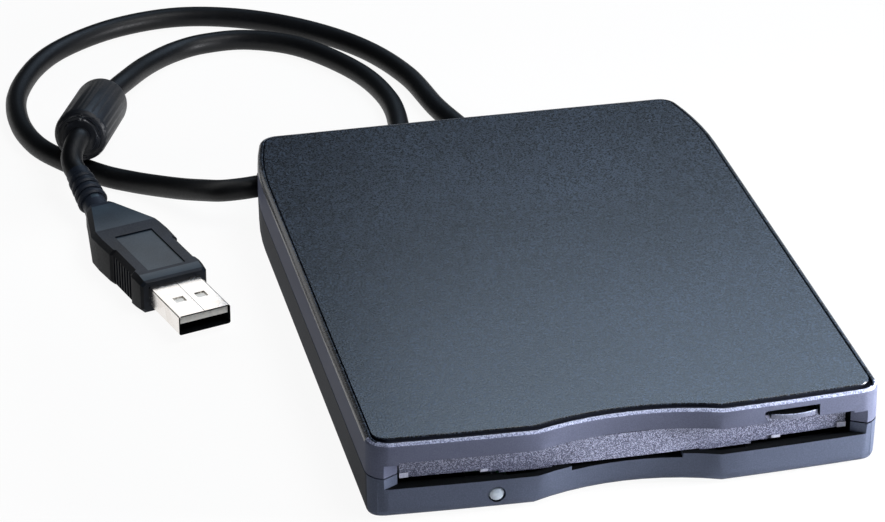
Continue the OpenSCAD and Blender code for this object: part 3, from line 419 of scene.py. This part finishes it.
def on_stop(c, n):
    """Front faces of the two end stops and the two lower lugs of the flap, painted pale as a highlight."""
    end = 43.5 < abs(c.x) < 45.6 and 8 < c.z < 9.2
    lug = (29.7 < c.x < 31.7 or -29.5 < c.x < -27.8) and c.z < 8.5
    return n.y < -0.9 and (end or lug)


dress(flap, sparkle_abs, (painted_highlight_stop, on_stop))
button = welded("eject_button", "eject_key")
round_edges(button, 0.12, 2, 60)
# The button's top is painted black as shade, and its front edge wears the painted highlight.
dress(button, abs_button, (painted_shade_and_seam_black, lambda c, n: n.z > 0.95),
      (painted_highlight_edge, lambda c, n: 0.2 < n.z < 0.95 and n.y < 0))
lens = welded("led_lens", "lamp_lens")
dress(lens, lens_clear)

# %% [markdown]
# Four rubber feet and two screws are on the underside, and a bush in the left wall holds the lead.

# %% Feet, screws and bush
for node, name, material in (("rubber_feet", "foot_pads", rubber), ("case_screws", "housing_screws", screw_steel),
                             ("cable_bush", "lead_bush", black_pom)):
    dress(welded(node, name), material)

# %% [markdown]
# The plug lies turned on the table, so its rules are written in its own frame, which starts at its tip.
# The shell is folded from one strip: the seam along its top is a dark hairline, and the inside of its mouth is
# painted black as shade.
# The grip is moulded soft, so all its edges are rounded by 0.35 mm.

# %% Ferrite core and plug
core = welded("ferrite_core", "ferrite_sleeve")
dress(core, pvc_core)
TIP = Vector((-70.8, 11.6, 4.3))
ALONG = Vector((math.cos(PLUG_TURN), math.sin(PLUG_TURN), 0))
ASIDE = Vector((-ALONG.y, ALONG.x, 0))


def in_plug(c):
    """Place in the plug's own frame: ahead of its tip, to its left, and above its axis, in mm."""
    return (c - TIP).dot(ALONG), (c - TIP).dot(ASIDE), c.z - TIP.z


grip = welded("plug_overmold", "plug_grip")
round_edges(grip, 0.35, 3, 28)
# The sides of the grip are painted darker as shade.
dress(grip, pvc_grip, (painted_shade_grip_flank, lambda c, n: abs(n.dot(ASIDE)) > 0.6 and in_plug(c)[0] > -50),
      (pvc_panel, lambda c, n: n.z > 0.9 and 3.7 < in_plug(c)[2] < 4.0))
shell = welded("plug_shell", "plug_steel_shell")
# The inside of the shell's mouth is painted black as shade; the seam along its top is a dark hairline.
dress(shell, nickel, (painted_shade_and_seam_black, lambda c, n: abs(in_plug(c)[1]) < 5.75 and abs(in_plug(c)[2]) < 1.98
                      or abs(in_plug(c)[1]) < 0.062 and in_plug(c)[2] > 2))
tongue = welded("plug_insert", "plug_tongue")
round_edges(tongue, 0.1, 2, 40)
dress(tongue, white_pbt)

# %% [markdown]
# The mechanism is hardly in view, and each of its CAD nodes wears the finish of its real material.

# %% Finishes of the inner pieces
wear(gold, "plug_contacts")
wear(zinc, "drive_chassis", "stepper_motor", "rod_clamps", "head_arm", "disk_holder", "eject_slider", "shutter_lever")
wear(aluminium, "spindle_rotor")
wear(steel, "door_spring", "lead_screw", "guide_rod", "arm_pin", "eject_spring_left", "eject_spring_right",
     "lever_pin")
wear(screw_steel, "chassis_screws")
wear(resist, "spindle_board", "usb_board")
wear(copper, "stator_coils")
wear(bronze, "spindle_bearing")
wear(black_pom, "head_carriage", "sensor_switches", "bridge_chip")
wear(ceramic, "lower_head", "upper_head")
wear(film, "flat_cable")
wear(lens_clear, "lamp_emitter")

# %% [markdown]
# The lead leaves the left side near the back, drops to the table, makes two loops behind the drive,
# runs through the ferrite core and ends in the plug.

# %% The lead
lay = 2.5    # height of its axis where it lies on the table
route = [
    (-50.2, 61.4, 9.55), (-54, 61.4, 9.3), (-58.5, 62.8, 8.6), (-62, 66.5, 7.3), (-66, 72, 5.4),
    (-71, 78.7, 3.5), (-76, 84, lay), (-82, 88.8, lay), (-89.5, 98, lay), (-95, 108, lay),
    (-97.42, 121, lay), (-96.2, 136, lay), (-90, 151.5, lay), (-81, 162.5, lay), (-67, 171.2, lay),
    (-51, 174.15, lay), (-35, 169.5, lay), (-20.5, 159, lay), (-9, 144.5, lay), (-2, 127, lay),
    (1, 108, lay), (4.2, 95, lay), (6.5, 84.5, lay), (3.8, 77.5, lay), (-3.3, 74.4, lay),
    (-10.4, 77.5, lay), (-13.3, 85.5, lay), (-10, 99, lay), (-9.3, 115, lay), (-13.5, 132, lay),
    (-24, 149, lay), (-36, 156.4, lay), (-47, 156.6, lay), (-55.5, 152.5, 2.8), (-63.5, 143.8, 3.9),
    (-70.4, 132.8, 5.3),
]
core_far, core_near = Vector((-77.4, 120.4, 6.4)), Vector((-86.8, 89.8, 12.2))
core_axis = (core_near - core_far).normalized()
tail = [core_near + 1.5 * core_axis, (-88.3, 86.6, 11.9), (-89.4, 84, 10.5), (-89.5, 81.6, 9.1), (-88.7, 79.2, 8)]


def smooth_through(points, parts):
    """Points along one smooth curve through the given ones, parts to each span."""
    p = [Vector(q) for q in points]
    out = []
    for i in range(len(p) - 1):
        a, b, c, d = p[max(i - 1, 0)], p[i], p[i + 1], p[min(i + 2, len(p) - 1)]
        for k in range(parts):
            t = k / parts
            out.append(0.5 * (2 * b + (c - a) * t + (2 * a - 5 * b + 4 * c - d) * t ** 2
                              + (3 * b - a - 3 * c + d) * t ** 3))
    return out + [p[-1]]


lead_line = smooth_through(route + [core_far - 3 * core_axis, core_far], 8)[:-1] + \
    smooth_through([core_far, core_near], 4)[:-1] + smooth_through([core_near] + tail, 8)
curve = bpy.data.curves.new("lead", "CURVE")
curve.dimensions = "3D"
curve.bevel_depth = lay * MM
curve.bevel_resolution = 8
spline = curve.splines.new("POLY")
spline.points.add(len(lead_line) - 1)
for point, place in zip(spline.points, lead_line):
    point.co = (*(place * MM), 1)
lead = bpy.data.objects.new("lead", curve)
scene.collection.objects.link(lead)
curve.materials.append(pvc_jacket)
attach(lead, "housing")
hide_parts("usb_cord", "usb_cord_tail")

# %% [markdown]
# A white sheet lies under the drive and stays white where the camera, a polished surface or a clear one
# sees it, and its own diffuse part keeps the shadow. The room is dim. One softbox stands behind the
# drive, well above the table, so that its reflection brightens the lid towards the front right. The main
# one hangs over the drive and lights all that faces up. A small one at the front right grazes the front
# walls, which darken to the left, and a small card beside the plug shows in its steel.

# %% Floor
bpy.ops.mesh.primitive_plane_add(size=3, location=(0, 0, 0))
floor = bpy.context.active_object
floor.name = "studio_floor"
paper, tree, shader, where = finish("white_paper", {"Base Color": srgb("#f2f2f2"), "Roughness": 0.9})
glow = put(tree, "ShaderNodeEmission", {"Color": (1, 1, 1, 1), "Strength": 1.0})
path = put(tree, "ShaderNodeLightPath")
seen = put(tree, "ShaderNodeMath", {0: path.outputs["Is Camera Ray"], 1: path.outputs["Is Glossy Ray"]},
           operation="MAXIMUM")
seen = put(tree, "ShaderNodeMath", {0: seen.outputs[0], 1: path.outputs["Is Transmission Ray"]},
           operation="MAXIMUM")
share = put(tree, "ShaderNodeMath", {0: seen.outputs[0], 1: 0.93}, operation="MULTIPLY")
mix = put(tree, "ShaderNodeMixShader", {0: share.outputs[0], 1: shader.outputs[0], 2: glow.outputs[0]})
tree.links.new(mix.outputs[0], tree.nodes["Material Output"].inputs["Surface"])
wear(paper, "studio_floor")

# %% Room and lamps
world = bpy.data.worlds.new("studio")
scene.world = world
world.use_nodes = True
world.node_tree.nodes.clear()
room = put(world.node_tree, "ShaderNodeBackground", {"Color": (0.92, 0.96, 1, 1), "Strength": 0.06})
put(world.node_tree, "ShaderNodeOutputWorld", {"Surface": room.outputs[0]})


def softbox(name, place_mm, target_mm, size_mm, watts, color=(1, 1, 1)):
    """A rectangular lamp that points at a target."""
    data = bpy.data.lights.new(name, "AREA")
    data.shape = "RECTANGLE"
    data.size, data.size_y = (s * MM for s in size_mm)
    data.energy, data.color = watts, color
    lamp = bpy.data.objects.new(name, data)
    lamp.location = Vector(place_mm) * MM
    lamp.rotation_euler = ((Vector(target_mm) - Vector(place_mm)) * MM).to_track_quat("-Z", "Y").to_euler()
    lamp.visible_camera = False
    scene.collection.objects.link(lamp)


softbox("rear_softbox", (350, 470, 515), (330, -100, 400), (600, 370), 2.6, (0.62, 0.79, 1))
softbox("overhead_softbox", (240, -180, 690), (0, -20, 0), (420, 360), 3.6)
softbox("front_right_softbox", (230, -118, 64), (0, -70, 10), (90, 80), 2.0, (0.95, 0.96, 1))
softbox("plug_card", (-84, 64, 36), (-78, 0, 4), (56, 34), 0.0078)

# %% Update the scene
bpy.context.view_layer.update()
